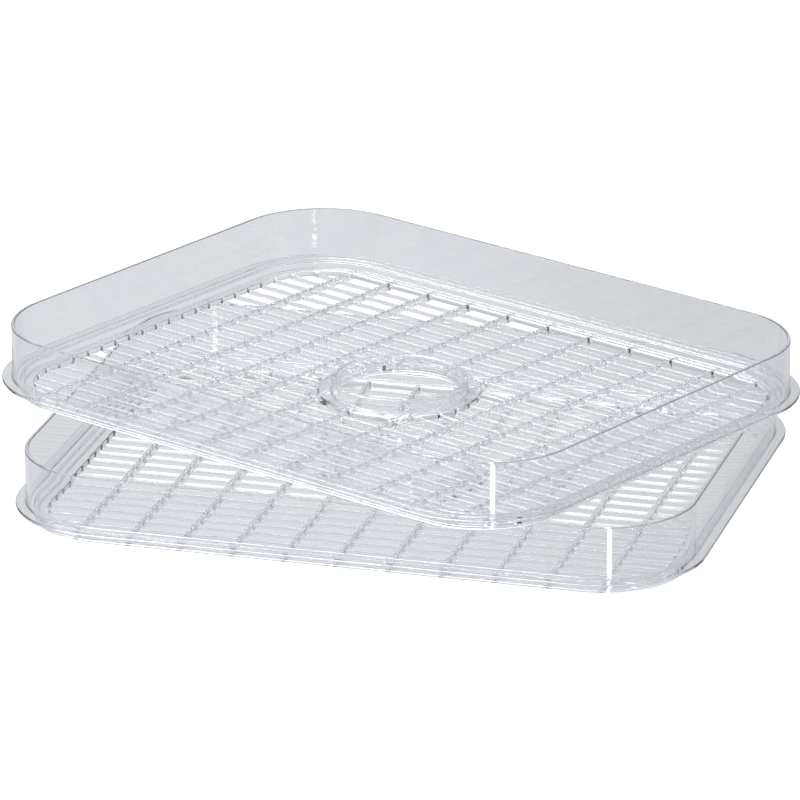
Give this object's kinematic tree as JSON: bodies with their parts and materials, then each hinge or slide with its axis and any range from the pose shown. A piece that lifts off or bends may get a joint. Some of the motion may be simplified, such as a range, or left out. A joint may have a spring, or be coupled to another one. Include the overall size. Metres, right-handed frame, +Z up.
{
  "type": "stack of two drying trays",
  "caption": "Two clear stacking drying trays with slatted floors and a round air hole, the upper one lying askew on the lower one's rim and lifting off.",
  "frame": {"origin": "centre of the lower tray's air hole, in the plane of its underside, on the table", "axes": "+X along the lower tray's long side, +Y along its short side, +Z up"},
  "size_m": [0.3854, 0.3482, 0.0689],
  "materials": {
    "clear_plastic": "water-clear moulded polystyrene, polished, with a faint grey-blue tint at its edges"
  },
  "bodies": {
    "lower_tray": {"lower_rim_wall": "clear_plastic", "lower_stacking_flange": "clear_plastic", "lower_locating_skirt": "clear_plastic", "lower_slat_floor": "clear_plastic", "lower_air_collar": "clear_plastic"},
    "upper_tray": {"upper_rim_wall": "clear_plastic", "upper_stacking_flange": "clear_plastic", "upper_locating_skirt": "clear_plastic", "upper_slat_floor": "clear_plastic", "upper_air_collar": "clear_plastic"}
  },
  "joints": [
    {"name": "upper_tray_lift", "type": "slide", "parent": "lower_tray", "child": "upper_tray", "axis": [0, 0, 1], "range_m": [0, 0.12]}
  ]
}
